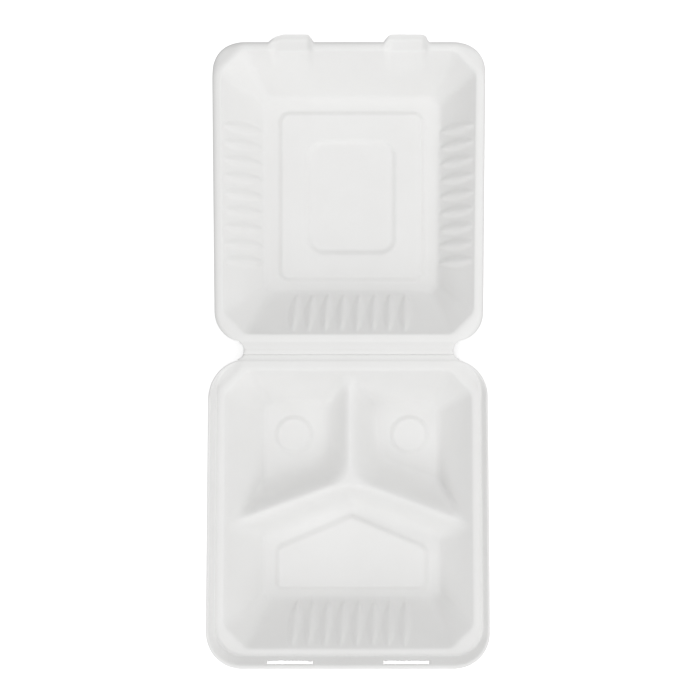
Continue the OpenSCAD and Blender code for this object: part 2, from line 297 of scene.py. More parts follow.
# %% Base section
base_opening = [12.0, 13.9, 8.6]
base_lean = [24.0, 27.5, 25.8]
base_lines = [
    line(0.15, 0.15, 0.1, z=-0.25, z_back=-0.30, lift=5.75, corner=26.35),
    line(0.35, 0.5, 0.3, z=-0.05, z_back=-0.28, lift=5.95, corner=26.1),
    line(0.9, 1.3, 0.7, z=0.0, z_back=-0.25, lift=6.0, corner=25.6),
    line(1.4, 2.7, 1.1, z=0.0, z_back=-0.2, lift=5.95, corner=25.1),
    line(1.9, 3.3, 1.4, z=-0.1, z_back=-0.15, lift=5.3, corner=24.6),
    line(4.3, 6.9, 1.8, z=-0.7, z_back=-0.1, lift=0.6, corner=22.2),
    line(4.9, 7.7, 2.2, z=-0.95, z_back=-0.06, lift=0.0, corner=21.6),
    line(5.7, 8.4, 3.2, z=-0.8, z_back=0.0, corner=20.8),
    line(7.1, 9.6, 4.4, z=-0.1, z_back=0.0, corner=19.4),
    line(8.7, 10.9, 5.6, z=0.0, z_back=-0.02, corner=17.8),
    line(10.0, 12.3, 6.6, z=-0.1, z_back=-0.1, cut=12.6, radius=16),
    line(11.2, 13.2, 7.3, z=-0.4, z_back=-0.45, cut=14.6, radius=12),
    line(11.9, 13.8, 8.4, z=-0.9, z_back=-0.5, cut=OPENING_CUT, radius=9.5),
    *down_the_wall(base_opening, base_lean, -0.8, [0.04, 0.16, 0.4, 0.7, 0.86, 1.0]),
    line(39.5, 44.9, 38.0, z=FLOOR_Z, cut=4.6, radius=6.5),
    line(41.0, 46.4, 39.4, z=FLOOR_Z, cut=4.4, radius=6),
]
base_section = even_steps(cut_corners(base_lines, 3), RIM_FACES[0], WALL_FACES, 12.5)
print("lines in the base:", len(base_section))

# %% [markdown]
# ## Section of the lid
# The lid has no lip. Its edge rolls down, so that it sits inside the lip of the base when the
# box is shut, and a flat flange runs inside the roll.

# %% Lid section
lid_opening = [7.52, 7.48, 5.9]
lid_lean = [25.5, 27.5, 31.0]
lid_lines = [
    line(0.15, 0.15, 0.1, z=-3.95, corner=20.9),
    line(0.2, 0.2, 0.2, z=-3.3, corner=20.8),
    line(0.6, 0.6, 0.5, z=-2.2, corner=20.5),
    line(1.3, 1.3, 1.1, z=-1.25, corner=19.8),
    line(2.5, 2.5, 2.0, z=-0.45, corner=18.6),
    line(4.0, 4.0, 3.2, z=0.0, corner=17.2),
    line(5.6, 5.6, 4.4, z=0.0, cut=11.6, radius=14),
    line(6.7, 6.7, 5.2, z=-0.05, cut=14.4, radius=11),
    line(7.3, 7.3, 5.7, z=-0.45, cut=OPENING_CUT, radius=9.5),
    *down_the_wall(lid_opening, lid_lean, -0.8, [0.04, 0.16, 0.4, 0.7, 0.86, 1.0]),
    line(36.8, 38.4, 40.1, z=FLOOR_Z, cut=4.6, radius=6.5),
    line(38.2, 39.8, 41.5, z=FLOOR_Z, cut=4.4, radius=6),
]
lid_section = even_steps(cut_corners(lid_lines, 3), RIM_FACES[1], WALL_FACES, 7.5)
print("lines in the lid:", len(lid_section))

# %% [markdown]
# ## From section to sheet
# The lines are laid out round the half, the floor is filled with a grid that follows its edge
# on all four sides, and the plain strip beside the fold is added with its round notches. The
# result is one sheet of four-sided faces without a seam, as the pressed sheet is.

# %% The tray part of the sheet
def rise(v, start, end):
    """Share of its full height that the rim has at the distance v from the fold."""
    return np.clip((v - start) / (end - start), 0, 1) ** 1.5


def rings(half, section, rise_start, rise_end, roll):
    """Points of all lines, one row a line: x, v, z."""
    x, v, z = [], [], []
    for side, front, back, height, height_back, lift, cut, radius in section:
        right = stations(right_side(half, side, front, back, cut, radius))
        left = right[-2:0:-1] * [-1, 1]
        points = np.vstack([right, left])
        share = rise(points[:, 1], rise_start, rise_end)
        level = height_back + (height - height_back) * smooth((points[:, 1] - STRIP) / half.corner)
        x.append(points[:, 0])
        v.append(points[:, 1])
        # A rolled edge runs out toward the fold with its lines near the rim; a lip only loses its rise
        on_rim = roll and height > FLOOR_Z / 6
        z.append(level * share + lift * share if on_rim else level + lift * share)
    return np.array(x), np.array(v), np.array(z)


def floor_grid(edge):
    """Points that fill the last line, as a grid with the line's points on its border."""
    corner_br, corner_fr = QUARTER, HALF_ROUND - QUARTER
    corner_fl, corner_bl = HALF_ROUND + QUARTER, ROUND - QUARTER
    back = np.arange(corner_bl, corner_bl + 2 * QUARTER + 1) % ROUND
    front = np.arange(corner_fl, corner_fr - 1, -1)
    right = np.arange(corner_br, corner_fr + 1)
    left = np.arange(corner_bl, corner_fl - 1, -1)
    s = np.linspace(0, 1, len(back))[None, :, None]
    t = np.linspace(0, 1, len(right))[:, None, None]
    b, f, l, r = edge[back][None], edge[front][None], edge[left][:, None], edge[right][:, None]
    grid = (1 - t) * b + t * f + (1 - s) * l + s * r
    grid = grid - (1 - s) * (1 - t) * edge[corner_bl] - s * (1 - t) * edge[corner_br]
    grid = grid - (1 - s) * t * edge[corner_fl] - s * t * edge[corner_fr]
    border = np.full(grid.shape[:2], -1)
    border[0], border[-1], border[:, 0], border[:, -1] = back, front, left, right
    return grid, border


print("lip of the base 20 mm from the fold:", round(float(rise(20.0, STRIP, STRIP + base.corner)), 2))

# %% [markdown]
# Between the trays the sheet is a plain narrow strip, with a round notch punched out at each
# end. A Boolean would cut the notches and leave thin faces. Here each row of the strip simply
# ends on the arc of the notch.

# %% The strip beside the fold
NOTCH_R = 7.5
NECK_V = 7.2
STRIP_START = 6.5
STRIP_LOW = 0.15


def notch_reach(half):
    """Distance of the notch's centre from the middle of the box, as this half would have it."""
    span = (half.corner + NOTCH_R) ** 2 - (STRIP + half.corner) ** 2
    return half.back - half.corner + np.sqrt(span)


notch_x = (notch_reach(base) + notch_reach(lid)) / 2
strip_v = np.array([
    5.9, 5.2, 4.5, 3.9, 3.5, 3.25, 3.05, 2.9, 2.75, 2.55, 2.2, 1.6, 1.0, 0.5, FOLD_GAP / 2,
])


def fold_strip(x, v, z):
    """Rows of points from the first line to the fold, and the columns of the line they hang on."""
    reach = notch_x - np.sqrt(NOTCH_R ** 2 - NECK_V ** 2)
    last = int(np.max(np.nonzero((x[:HALF_ROUND // 3] <= reach))[0]))
    columns = np.arange(-last, last + 1) % ROUND
    top_v, top_x, top_z = v[columns], x[columns], z[columns]
    rows = []
    for k, level in enumerate(strip_v):
        share = (STRIP_START - level) / (STRIP_START - strip_v[-1])
        row_v = top_v + (strip_v[-1] - top_v) * share
        edge = notch_x - np.sqrt(np.clip(NOTCH_R ** 2 - row_v ** 2, 0, None))
        scale = 1 + (edge / x[last] - 1) * min(1.0, (k + 1) / 3)
        row_z = top_z + (-STRIP_LOW - top_z) * smooth(share * 1.6)
        rows.append(np.stack([top_x * scale, row_v, row_z], -1))
    print("half width of the neck:", round(float(rows[-1][-1, 0]), 2))
    return np.array(rows), columns


# %% [markdown]
# ## One sheet as a mesh
# All points go into one list, and the faces are pairs of neighbouring rows. The underside is the
# same sheet moved by the thickness of the fibre, and a rounded edge closes the two
# along every free border: the outer edge, the fold and the slots.

# %% The sheet
class Sheet:
    """Points and faces of one half, before it becomes a mesh."""

    def __init__(self, half, section, rise_start, rise_end, roll=False):
        self.half = half
        self.section = section
        x, v, z = rings(half, section, rise_start, rise_end, roll)
        count = len(section)
        ring = np.arange(count * ROUND).reshape(count, ROUND)
        self.ring = ring
        points = [np.stack([x, v, z], -1).reshape(-1, 3)]
        grid, border = floor_grid(np.stack([x[-1], v[-1], z[-1]], -1))
        inner = border < 0
        border[inner] = count * ROUND + np.arange(inner.sum())
        border[~inner] += (count - 1) * ROUND
        points.append(grid[inner])
        self.floor = border
        rows, columns = fold_strip(x[0], v[0], z[0])
        start = count * ROUND + inner.sum()
        strip = start + np.arange(rows.shape[0] * rows.shape[1]).reshape(rows.shape[:2])
        points.append(rows.reshape(-1, 3))
        self.strip = np.vstack([ring[0, columns], strip])
        self.points = np.vstack(points)
        self.inset = np.zeros(len(self.points))
        self.inset[ring.ravel()] = np.repeat(section[:, 1], ROUND)
        self.inset[border[inner]] = 99
        self.open = np.ones((count - 1, ROUND), bool)

    def faces(self):
        """All four-sided faces, seen from the top."""
        around = np.stack([self.ring, np.roll(self.ring, -1, 1)])
        band = np.stack([around[0, :-1], around[0, 1:], around[1, 1:], around[1, :-1]], -1)
        made = [band[self.open]]
        for grid, turn in ((self.floor, 1), (self.strip, -1)):
            quads = np.stack([grid[:-1, :-1], grid[1:, :-1], grid[1:, 1:], grid[:-1, 1:]], -1)
            made.append(quads.reshape(-1, 4)[:, ::turn])
        return np.vstack(made)[:, ::-1]


def facing(points, faces):
    """Normals of four-sided faces, with the length of twice their area."""
    a, b, c, d = (points[faces[:, k]] for k in range(4))
    return np.cross(c - a, d - b)


sheets = {
    "base": Sheet(base, base_section, STRIP, STRIP + base.corner),
    "lid": Sheet(lid, lid_section, 4.5, 13.0, roll=True),
}
for name, sheet in sheets.items():
    made = sheet.faces()
    up = facing(sheet.points, made)[:, 2]
    print(name, "faces:", len(made), "facing up:", int((up > 0).sum()))

# %% [markdown]
# ## The divider
# Three arms part the base into two small compartments and a large one. Each arm is a bank with a
# rounded top and a wide foot, wider still toward the large compartment. The bank could be
# modelled by hand, but its height follows from one number, the distance from the nearest arm as a
# share of the foot. A smooth minimum of the distances joins the arms in a curve, and a smooth
# maximum of the heights joins them to the floor and the walls.

# %% Divider
RIDGE_H = 26.0
RIDGE_TOP = 0.16
RIDGE_FOOT = 16.5
NEAR_FOOT = 20.0
RIDGE_SOFT = 7.0
MEET = 96.0
SLOPE = np.radians(20.2)
APEX = 5.0
ARMS_SOFT = 0.9
ARM_END = 1.6


def flank(reach):
    """Height of the divider where reach is the share of the way from its ridge to its foot."""
    return soft_min(RIDGE_H * (1 - reach) / (1 - RIDGE_TOP), RIDGE_H, RIDGE_SOFT)


def divider(x, v):
    """Height of the divider over the floor."""
    x = np.abs(x)
    past = v - MEET
    back_arm = np.where(past < 0, x, np.hypot(x, ARM_END * past)) / RIDGE_FOOT
    rounded = np.hypot(x, APEX)
    beside = past * np.cos(SLOPE) - rounded * np.sin(SLOPE)
    front_arm = np.where(beside > 0, beside / NEAR_FOOT, -beside / RIDGE_FOOT)
    return flank(soft_min(back_arm, front_arm, ARMS_SOFT))


print("back arm over the floor (mm):", round(float(divider(0.0, 60.0)), 1))

# %% [markdown]
# ## The raised panels
# Flat panels stiffen the floors: a round one in each small compartment, a five-sided one in the
# large compartment, and in the lid a square one with a sunken middle. They could be cut into the
# mesh as outlines, but a step that follows the distance to the outline is soft at once.

# %% Panels
PANEL_H = 2.5
PANEL_SLOPE = 4.0
DISC_X, DISC_V, DISC_R = 44.0, 64.9, 15.3
GABLE_X, GABLE_PEAK, GABLE_EAVES, GABLE_END = 59.0, 124.9, 149.9, 184.5
LID_PANEL = {"half_x": 56.4, "near": 51.6, "far": 182.6, "radius": 9.0}
LID_WINDOW = {"half_x": 32.4, "near": 74.1, "far": 158.1, "radius": 11.0}


def step(distance):
    """Height of a panel at the distance inside its outline."""
    return PANEL_H * smooth(distance / PANEL_SLOPE)


def round_panels(x, v):
    return step(DISC_R - np.hypot(np.abs(x) - DISC_X, v - DISC_V))


def gable_panel(x, v):
    """The five-sided panel, with its peak toward the fold."""
    pitch = np.arctan2(GABLE_EAVES - GABLE_PEAK, GABLE_X)
    roof = (v - GABLE_PEAK) * np.cos(pitch) - np.abs(x) * np.sin(pitch)
    sides = soft_min(GABLE_X - np.abs(x), GABLE_END - v, 5.0)
    return step(soft_min(roof, sides, 4.0))


def inside_box(x, v, half_x, near, far, radius):
    """Distance inside a rectangle with round corners."""
    over_x = np.abs(x) - (half_x - radius)
    over_v = np.abs(v - (near + far) / 2) - ((far - near) / 2 - radius)
    outside = np.hypot(np.maximum(over_x, 0), np.maximum(over_v, 0))
    return radius - outside - np.minimum(np.maximum(over_x, over_v), 0)


def lid_panels(x, v):
    outer = step(inside_box(x, v, **LID_PANEL))
    window = step(inside_box(x, v, **LID_WINDOW) + PANEL_SLOPE / 2)
    return outer - window


print("round panel over the floor (mm):", float(round_panels(DISC_X, DISC_V)))

# %% [markdown]
# ## The ribs
# Leaf-shaped ribs stand on some walls, pointed at both ends with a narrow crest. They could be
# separate pieces laid on the wall, but pressed fibre has no joints, so the wall itself is
# moved out along its own normal.

# %% Ribs
RIB_L = 46.5
RIB_W = 9.6
RIB_H = 2.4
RIB_CREST = 1.3
RIB_ENDS = 1.6
LEFT_RIBS = 0.65
END_RIBS = {"count": 8, "pitch": 11.8, "middle": 0.0}
SIDE_RIBS = {"count": 9, "pitch": 12.45, "middle": 116.2}
WALL_TOP = -0.8


def leaf(aside, up_wall):
    """Height of a rib, beside and along its middle line."""
    reach = np.clip(1 - (2 * up_wall / RIB_L) ** 2, 1e-4, 1)
    q = np.abs(aside) / (reach * RIB_W / 2)
    return RIB_H * np.clip(1 - q ** RIB_CREST, 0, 1) * np.minimum(1, RIB_ENDS * reach)


def rib_row(position, z, lean, count, pitch, middle):
    """Height of a row of ribs and the normal of its wall: outward share and upward share."""
    drop = WALL_TOP - FLOOR_Z
    slope = np.hypot(lean, drop)
    up_wall = (z - (WALL_TOP + FLOOR_Z) / 2) * slope / drop
    nearest = np.round((position - middle) / pitch + (count - 1) / 2)
    nearest = np.clip(nearest, 0, count - 1)
    aside = position - middle - (nearest - (count - 1) / 2) * pitch
    return leaf(aside, up_wall), drop / slope, lean / slope


print("crest of a rib over its wall (mm):", float(leaf(0.0, 0.0)))

# %% [markdown]
# ## The tongues
# Two tongues reach past the front edge of the lid and go through the slots of the base. Behind
# each, a trough is sunk into the flange and fades out down the wall. They could be added as
# flaps, but on the real box the same sheet runs on into them, so its points are moved. Four
# distances across a tongue say where it starts, is full, stops being full and ends. The left
# one has a long shallow shoulder.

# %% Tongues
TONGUE_REACH = 5.5
TONGUE_DROP = 2.75
TONGUE_CROWN = 0.35
TROUGH_H = 17.0
TROUGH_OUT = 1.75
TROUGH = (25.6, 31.4, 53.6, 59.4)
LEFT_TONGUE = (25.0, 30.5, 47.0, 62.0)
RIGHT_TONGUE = (24.2, 31.6, 54.0, 62.0)
CLEAR_OF_LIP = (25.6, 28.4, 55.8, 59.4)
FLANGE_W = 7.5


def between(x, start, full, end_full, end):
    """1 from full to end_full, with smooth ends."""
    return smooth((x - start) / (full - start)) * smooth((end - x) / (end - end_full))


def tongues(sheet):
    """Sinks the troughs and draws the tongues out of the front of the lid."""
    x, v, z = sheet.points.T
    front = (v > sheet.half.length * 0.6) & (sheet.inset < 99)
    trough = between(np.abs(x), *TROUGH)
    tip = np.where(x < 0, between(-x, *LEFT_TONGUE), between(x, *RIGHT_TONGUE))
    # Past the ends of the slot the shoulders are cut back, so that they clear the lip
    tip = np.minimum(tip, between(np.abs(x), *CLEAR_OF_LIP))
    rim = front & (sheet.inset < lid_opening[1] + 0.4)
    wall = front & ~rim
    level = np.where(rim, -TONGUE_DROP, soft_min(z, -TONGUE_DROP, 0.8))
    fade = np.where(rim, 1.0, np.clip((z + TROUGH_H) / (TROUGH_H - TONGUE_DROP), 0, 1))
    crown = TONGUE_CROWN * np.exp(-((sheet.inset - 2.6) / 0.9) ** 2)
    sunk = z + (level - z + np.where(rim, crown, 0)) * trough
    outward = TROUGH_OUT * trough * fade
    at_edge = np.clip(1 - sheet.inset / FLANGE_W, 0, 1)
    outward += np.where(rim, tip * (TONGUE_REACH - TROUGH_OUT * trough) * at_edge, 0)
    edge_lift = np.where(rim, tip * (1 - trough) * np.clip(-TONGUE_DROP - z, 0, 2), 0)
    sheet.points[:, 1] = np.where(front, v + outward, v)
    sheet.points[:, 2] = np.where(front, sunk + edge_lift, z)
    return int((rim & (trough > 0)).sum() + (wall & (trough > 0)).sum())


print("troughs of full depth over", round(TROUGH[2] - TROUGH[1], 1), "mm")

# %% [markdown]
# ## The slots
# Each slot is torn rather than cut, so its edge is a little ragged and its ends close in. A
# Boolean cut would leave long thin faces. Instead whole faces are left out of the inner
# face of the lip, and the points around the hole are moved into it, by a share of its height.

# %% Slots
SLOT_LOW, SLOT_HIGH = 1.7, 5.1
UPPER_MOST, LOWER_MOST = 0.12, 0.42


def slots(sheet, dice):
    """Opens the two slots in the front lip."""
    height = sheet.section[:, 3] + sheet.section[:, 5]
    face = np.nonzero(sheet.section[:, 1] > 2.4)[0]
    first = face[np.argmin(np.abs(height[face] - SLOT_HIGH))]
    last = face[np.argmin(np.abs(height[face] - SLOT_LOW))]
    near, far = TO_SLOT, TO_SLOT + OVER_SLOT
    for start, end in ((HALF_ROUND - far, HALF_ROUND - near), (HALF_ROUND + near, HALF_ROUND + far)):
        sheet.open[first:last, start:end] = False
        upper, lower = sheet.ring[first, start:end + 1], sheet.ring[last, start:end + 1]
        for edge, inward, most in ((upper, 1, UPPER_MOST), (lower, -1, LOWER_MOST)):
            down = sheet.points[lower] - sheet.points[upper]
            count = np.arange(len(edge))
            shift = np.abs(dice.normal(0, 0.1, len(edge)) + 0.12 * np.sin(count * 1.9))
            shift += 0.3 * np.exp(-np.minimum(count, count[::-1]) / 1.5)
            shift[[0, -1]] = 0
            sheet.points[edge] += down * (inward * np.clip(shift, 0, most))[:, None]
    return first, last


print("slots from", SLOT_NEAR, "to", SLOT_FAR, "mm beside the middle")

# %% [markdown]
# ## The corners of the rim
# At the corners the rim is wide, because the opening is cut off straight and the outer edge is
# round. On the real box it falls away outward there. Lower lines in the section would do it
# all round, so the corners are lowered by their distance beyond the slanted edge.

# %% The corners
FALL_FROM, FALL_OVER = 76.0, 8.0


def corner_fall(sheet, opening, end, start, run, depth):
    """Lets the rim fall away outward at the two corners of one end: 1 far from the fold, -1 at it."""
    half = sheet.half
    x, v, z = np.abs(sheet.points[:, 0]), sheet.points[:, 1], sheet.points[:, 2]
    near, far = STRIP + opening[2], half.length - opening[1]
    edge_v = far if end > 0 else near
    beyond = (x - half.width(edge_v) + opening[0] + end * (v - edge_v) + OPENING_CUT) / np.sqrt(2)
    fall = depth * smooth((beyond - start) / run) * smooth((x - FALL_FROM) / FALL_OVER)
    sheet.points[:, 2] = z - np.where(sheet.inset < opening[1], fall, 0)


print("the rim falls away from", FALL_FROM, "mm beside the middle")

# %% [markdown]
# ## The line beside the fold
# The press leaves a sharp line on the base where the sheet is to bend, and a strip that rises
# from it to the ledge. Both are heights that depend on the distance from the fold alone. The
# waves of the dried sheet are sums of long sines, which look the same at every run.

# %% The line and the waves
LINE_V, LINE_DEPTH, LINE_W = 2.9, 1.0, 0.34
LEDGE_V, LEDGE_RUN, LEDGE_RISE = 8.1, 5.0, 1.3


def crease(sheet):
    """The pressed line on the base beside the fold, and the strip that rises from it."""
    v = sheet.points[:, 1]
    groove = LINE_DEPTH * np.exp(-((v - LINE_V) / LINE_W) ** 2)
    ramp = LEDGE_RISE * np.clip((LEDGE_V - v) / LEDGE_RUN, 0, 1) * smooth((v - 2.8) / 0.4)
    sheet.points[:, 2] -= groove + ramp


def waves(x, v, amount):
    """Shallow waves, the same at every run."""
    return amount * (
        np.sin(x * 0.071 + 0.6) * np.sin(v * 0.063 + 1.7)
        + 0.6 * np.sin(x * 0.13 + v * 0.09 + 2.1)
        + 0.35 * np.sin(x * 0.05 - v * 0.21 + 0.4)
    )


print("line:", LINE_DEPTH, "mm deep,", LINE_V, "mm from the fold")

# %% [markdown]
# ## Everything together
# On the real box one stroke of the press makes all of it. Here each relief is a height over the
# plain sheet, so they are simply added, the ribs along the normal of their wall. Shallow waves
# come last: a wet sheet doesn't dry quite flat, and that catches the light.

# %% The relief
WAVE_H = 0.06
ROW_HALF = 50.0
FRONT_WALL, FOLD_WALL, SIDE_WALL = 182.0, 52.0, 62.0
SIDE_ROW = (58.0, 174.0)
SHEET_SOFT = 10.0


def press(sheet):
    """Presses divider, panels and ribs into a sheet."""
    x, v, z = sheet.points.T.copy()
    tray = sheet.inset > (base_opening if sheet.half is base else lid_opening)[1] + 1
    on_floor = smooth((FLOOR_Z + 2.0 - z) / 1.5)
    if sheet.half is base:
        panels = (round_panels(x, v) + gable_panel(x, v)) * on_floor
        front = tray & (v > FRONT_WALL) & (np.abs(x) < ROW_HALF)
        height, out, up = rib_row(x, z, base_lean[1], **END_RIBS)
        v = v - np.where(front, height * out, 0)
        z = z + np.where(front, height * up, 0)
        z = np.where(tray, soft_max(z + panels, FLOOR_Z + divider(x, v), SHEET_SOFT), z)
    else:
        panels = lid_panels(x, v) * on_floor
        near = tray & (v < FOLD_WALL) & (np.abs(x) < ROW_HALF)
        height, out, up = rib_row(x, z, lid_lean[2], **END_RIBS)
        v = v + np.where(near, height * out, 0)
        z = z + np.where(near, height * up, 0)
        flanks = tray & (np.abs(x) > SIDE_WALL) & (v > SIDE_ROW[0]) & (v < SIDE_ROW[1])
        height, out, up = rib_row(v, z, lid_lean[0], **SIDE_RIBS)
        height = height * np.where(x < 0, LEFT_RIBS, 1)
        x = x - np.sign(x) * np.where(flanks, height * out, 0)
        z = z + np.where(flanks, height * up, 0)
        z = np.where(tray, z + panels, z)
    z = z + np.where(tray, waves(x, v, WAVE_H) * smooth((-z - 1) / 6), 0)
    sheet.points = np.stack([x, v, z], -1)


print("waves of", WAVE_H, "mm beside ribs of", RIB_H, "mm")

# %% [markdown]
# The order matters. Corners and line move the plain sheet, the reliefs build on that, and slots
# and tongues come last, because they are torn and bent in the finished edge.

# %% The stroke of the press
dice = np.random.default_rng(7)
corner_fall(sheets["lid"], lid_opening, end=1, start=1.5, run=9.0, depth=2.0)
corner_fall(sheets["lid"], lid_opening, end=-1, start=2.5, run=9.0, depth=1.2)
corner_fall(sheets["base"], base_opening, end=-1, start=3.5, run=5.5, depth=1.1)
crease(sheets["base"])
press(sheets["base"])
press(sheets["lid"])
print("slot between lines", slots(sheets["base"], dice))
print("points in the tongues:", tongues(sheets["lid"]))

# %% [markdown]
# ## From sheet to mesh
# A solidify modifier could give the sheet its thickness, but under a sharp crest its inner side
# folds over itself. Here the underside follows the averaged normals of the top, and a row of
# points that stands out a little rounds every free edge.

# %% Thickness
def point_normals(points, faces, rounds):
    """Normals at the points, averaged over their neighbours a few times."""
    turned = facing(points, faces)
    normals = np.zeros_like(points)
    for k in range(4):
        np.add.at(normals, faces[:, k], turned)
    normals /= np.linalg.norm(normals, axis=1, keepdims=True) + 1e-12
    for _ in range(rounds):
        middle = normals[faces].mean(1)
        normals = np.zeros_like(points)
        for k in range(4):
            np.add.at(normals, faces[:, k], middle)
        normals /= np.linalg.norm(normals, axis=1, keepdims=True) + 1e-12
    return normals


def free_edges(faces, count):
    """Edges that belong to one face only, in the direction of that face."""
    start, end = faces.ravel(), np.roll(faces, -1, 1).ravel()
    forward, backward = start * count + end, end * count + start
    lone = ~np.isin(forward, backward)
    return start[lone], end[lone]


def thicken(points, faces, thickness, bulge):
    """Closed skin of the sheet, and which of its points are on the underside."""
    count = len(points)
    normals = point_normals(points, faces, 2)
    under = points - normals * thickness
    under[:, 2] = np.maximum(under[:, 2], 0.02 - RIM_Z)
    start, end = free_edges(faces, count)
    along_edge = points[end] - points[start]
    out = np.zeros_like(points)
    sideways = np.cross(along_edge, normals[start])
    np.add.at(out, start, sideways)
    np.add.at(out, end, sideways)
    out /= np.linalg.norm(out, axis=1, keepdims=True) + 1e-12
    border = np.unique(start)
    middle = (points + under)[border] / 2 + out[border] * bulge
    place = np.full(count, -1)
    place[border] = 2 * count + np.arange(len(border))
    rim = [
        np.stack([end, start, place[start], place[end]], -1),
        np.stack([place[end], place[start], start + count, end + count], -1),
    ]
    used = np.unique(faces)
    renumber = np.full(2 * count + len(border), -1)
    kept = np.concatenate([used, used + count, 2 * count + np.arange(len(border))])
    renumber[kept] = np.arange(len(kept))
    skin = np.vstack([faces, faces[:, ::-1] + count, *rim])
    all_points = np.vstack([points, under, middle])[kept]
    side = np.concatenate([np.zeros(len(used)), np.ones(len(used)), np.full(len(border), 0.5)])
    return all_points, renumber[skin], side


def mesh_piece(name, points, faces, side):
    """A smooth-shaded object from points in metres."""
    mesh = bpy.data.meshes.new(name)
    mesh.from_pydata(points.tolist(), [], faces.tolist())
    mesh.update()
    mesh.shade_smooth()
    mask = mesh.attributes.new("underside", "FLOAT", "POINT")
    mask.data.foreach_set("value", side.astype(np.float32))
    piece = bpy.data.objects.new(name, mesh)
    bpy.context.scene.collection.objects.link(piece)
    print(name, "triangles:", 2 * len(faces))
    return piece


print("thickness of the sheet:", SKIN, "mm")

# %% [markdown]
# Both halves go through the same steps. Only the base lies on the near side of the fold, where
# the order of the points round a face runs the other way, so its faces are turned back.

# %% The two halves
EDGE_BULGE = 0.12

pieces = {}
for name, sheet in sheets.items():
    points, faces, side = thicken(sheet.points, sheet.faces(), SKIN, EDGE_BULGE)
    placed = sheet.half.place(*points.T)
    if sheet.half.side < 0:
        faces = faces[:, ::-1]
    pieces[name] = mesh_piece("pressed_" + name, placed, faces, side)

# %% [markdown]
# ## The fold
# On the real box the sheet simply bends here. The two halves of the model are two rigid bodies
# with a hair's breadth between them, so a narrow, gently crowned strip covers the line.
# It is a little proud, and in the photograph it shows as a fine light line.

# %% The fold
FOLD_REACH = 0.85
FOLD_SKIN = 0.4
FOLD_Z, FOLD_RISE = -0.17, 0.1

reach = np.max(np.abs(sheets["base"].points[sheets["base"].strip[-1], 0])) - 0.3
columns = np.linspace(-reach, reach, 61)
rows = np.linspace(-FOLD_REACH, FOLD_REACH, 9)
grid_x, grid_v = np.meshgrid(columns, rows)
grid_z = FOLD_Z + FOLD_RISE * np.cos(grid_v / FOLD_REACH * np.pi / 2)
index = np.arange(grid_x.size).reshape(grid_x.shape)
quads = np.stack([index[:-1, :-1], index[:-1, 1:], index[1:, 1:], index[1:, :-1]], -1).reshape(-1, 4)
line_points = np.stack([grid_x, grid_v, grid_z], -1).reshape(-1, 3)
points, faces, side = thicken(line_points, quads, FOLD_SKIN, 0.05)
pieces["fold"] = mesh_piece("fold_line", lid.place(*points.T), faces, side)

# %% [markdown]
# ## Shader maths as plain expressions
# A node tree is easier to read as arithmetic. The small class below wraps a socket, so that an
# expression on values adds the Math nodes by itself. Everything else is made by one method.

# %% Values and finishes
class Value:
    """A number that varies over a surface, for use in plain expressions."""

    def __init__(self, finish, socket):
        self.finish = finish
        self.socket = socket

    def maths(self, operation, first, second):
        node = self.finish.node("ShaderNodeMath", {"operation": operation}, {0: first, 1: second})
        return Value(self.finish, node.outputs[0])

    def __add__(self, other):
        return self.maths("ADD", self, other)

    def __rsub__(self, other):
        return self.maths("SUBTRACT", other, self)

    def __mul__(self, other):
        return self.maths("MULTIPLY", self, other)

    def __gt__(self, other):
        return self.maths("GREATER_THAN", self, other)

    __radd__ = __add__
    __rmul__ = __mul__


class Finish:
    """A material and its nodes."""

    def __init__(self, name):
        self.material = bpy.data.materials.new(name)
        self.material.use_nodes = True
        self.tree = self.material.node_tree
        self.tree.nodes.clear()

    def node(self, kind, settings=None, inputs=None):
        """A node with its settings first, then the values or links of its sockets."""
        made = self.tree.nodes.new(kind)
        for key, value in (settings or {}).items():
            setattr(made, key, value)
        for key, value in (inputs or {}).items():
            self.feed(made.inputs[key], value)
        return made

    def feed(self, socket, value):
        if isinstance(value, Value):
            value = value.socket
        if isinstance(value, bpy.types.NodeSocket):
            self.tree.links.new(value, socket)
        else:
            socket.default_value = value

    def value(self, node, output=0):
        return Value(self, node.outputs[output])

    def noise(self, place, scale, detail, stretch=(1, 1, 1)):
        """Noise from 0 to 1 over the piece, in waves of about 1 / scale metres."""
        laid = self.node("ShaderNodeMapping", {}, {"Vector": place, "Scale": stretch})
        made = self.node("ShaderNodeTexNoise", {}, {
            "Vector": laid.outputs[0], "Scale": scale, "Detail": detail, "Roughness": 0.55,
        })
        return self.value(made, "Fac")


print("signs that a value understands: + - * >")

# %% [markdown]
# ## Pressed fibre
# The fibre is bleached to a soft, slightly warm white and has no gloss. What makes it look like
# pulp is small: cloudy differences where the sheet is thicker, short fibres that show as
# a fine nap, the print of the wire mesh on the side that lay on the mould, and a few dark specks.

# %% Colour of the fibre
THIN_FIBRE = (0.79, 0.787, 0.778, 1.0)
THICK_FIBRE = (0.84, 0.84, 0.835, 1.0)

fibre = Finish("pressed_fibre")
place = fibre.node("ShaderNodeTexCoord").outputs["Object"]
cloud = fibre.noise(place, 38.0, 4.0)
fleck = fibre.noise(place, 900.0, 3.0)
strand = fibre.noise(place, 420.0, 3.0, stretch=(1.0, 3.2, 1.0))
tone = cloud * 0.7 + fleck * 0.3
body_colour = fibre.node("ShaderNodeMix", {"data_type": "RGBA"}, {
    "Factor": tone, 6: THIN_FIBRE, 7: THICK_FIBRE,
}).outputs[2]
print("the fibre's colour runs from", THIN_FIBRE[:3], "to", THICK_FIBRE[:3])

# %% [markdown]
# A dark speck is a shred of bark that came through the bleaching. Voronoi cells give each speck a
# place of its own, and the random colour of a cell says whether it has one at all.

# %% Specks
SPECK_COLOUR = (0.30, 0.25, 0.19, 1.0)
BARE_SHARE = 0.8

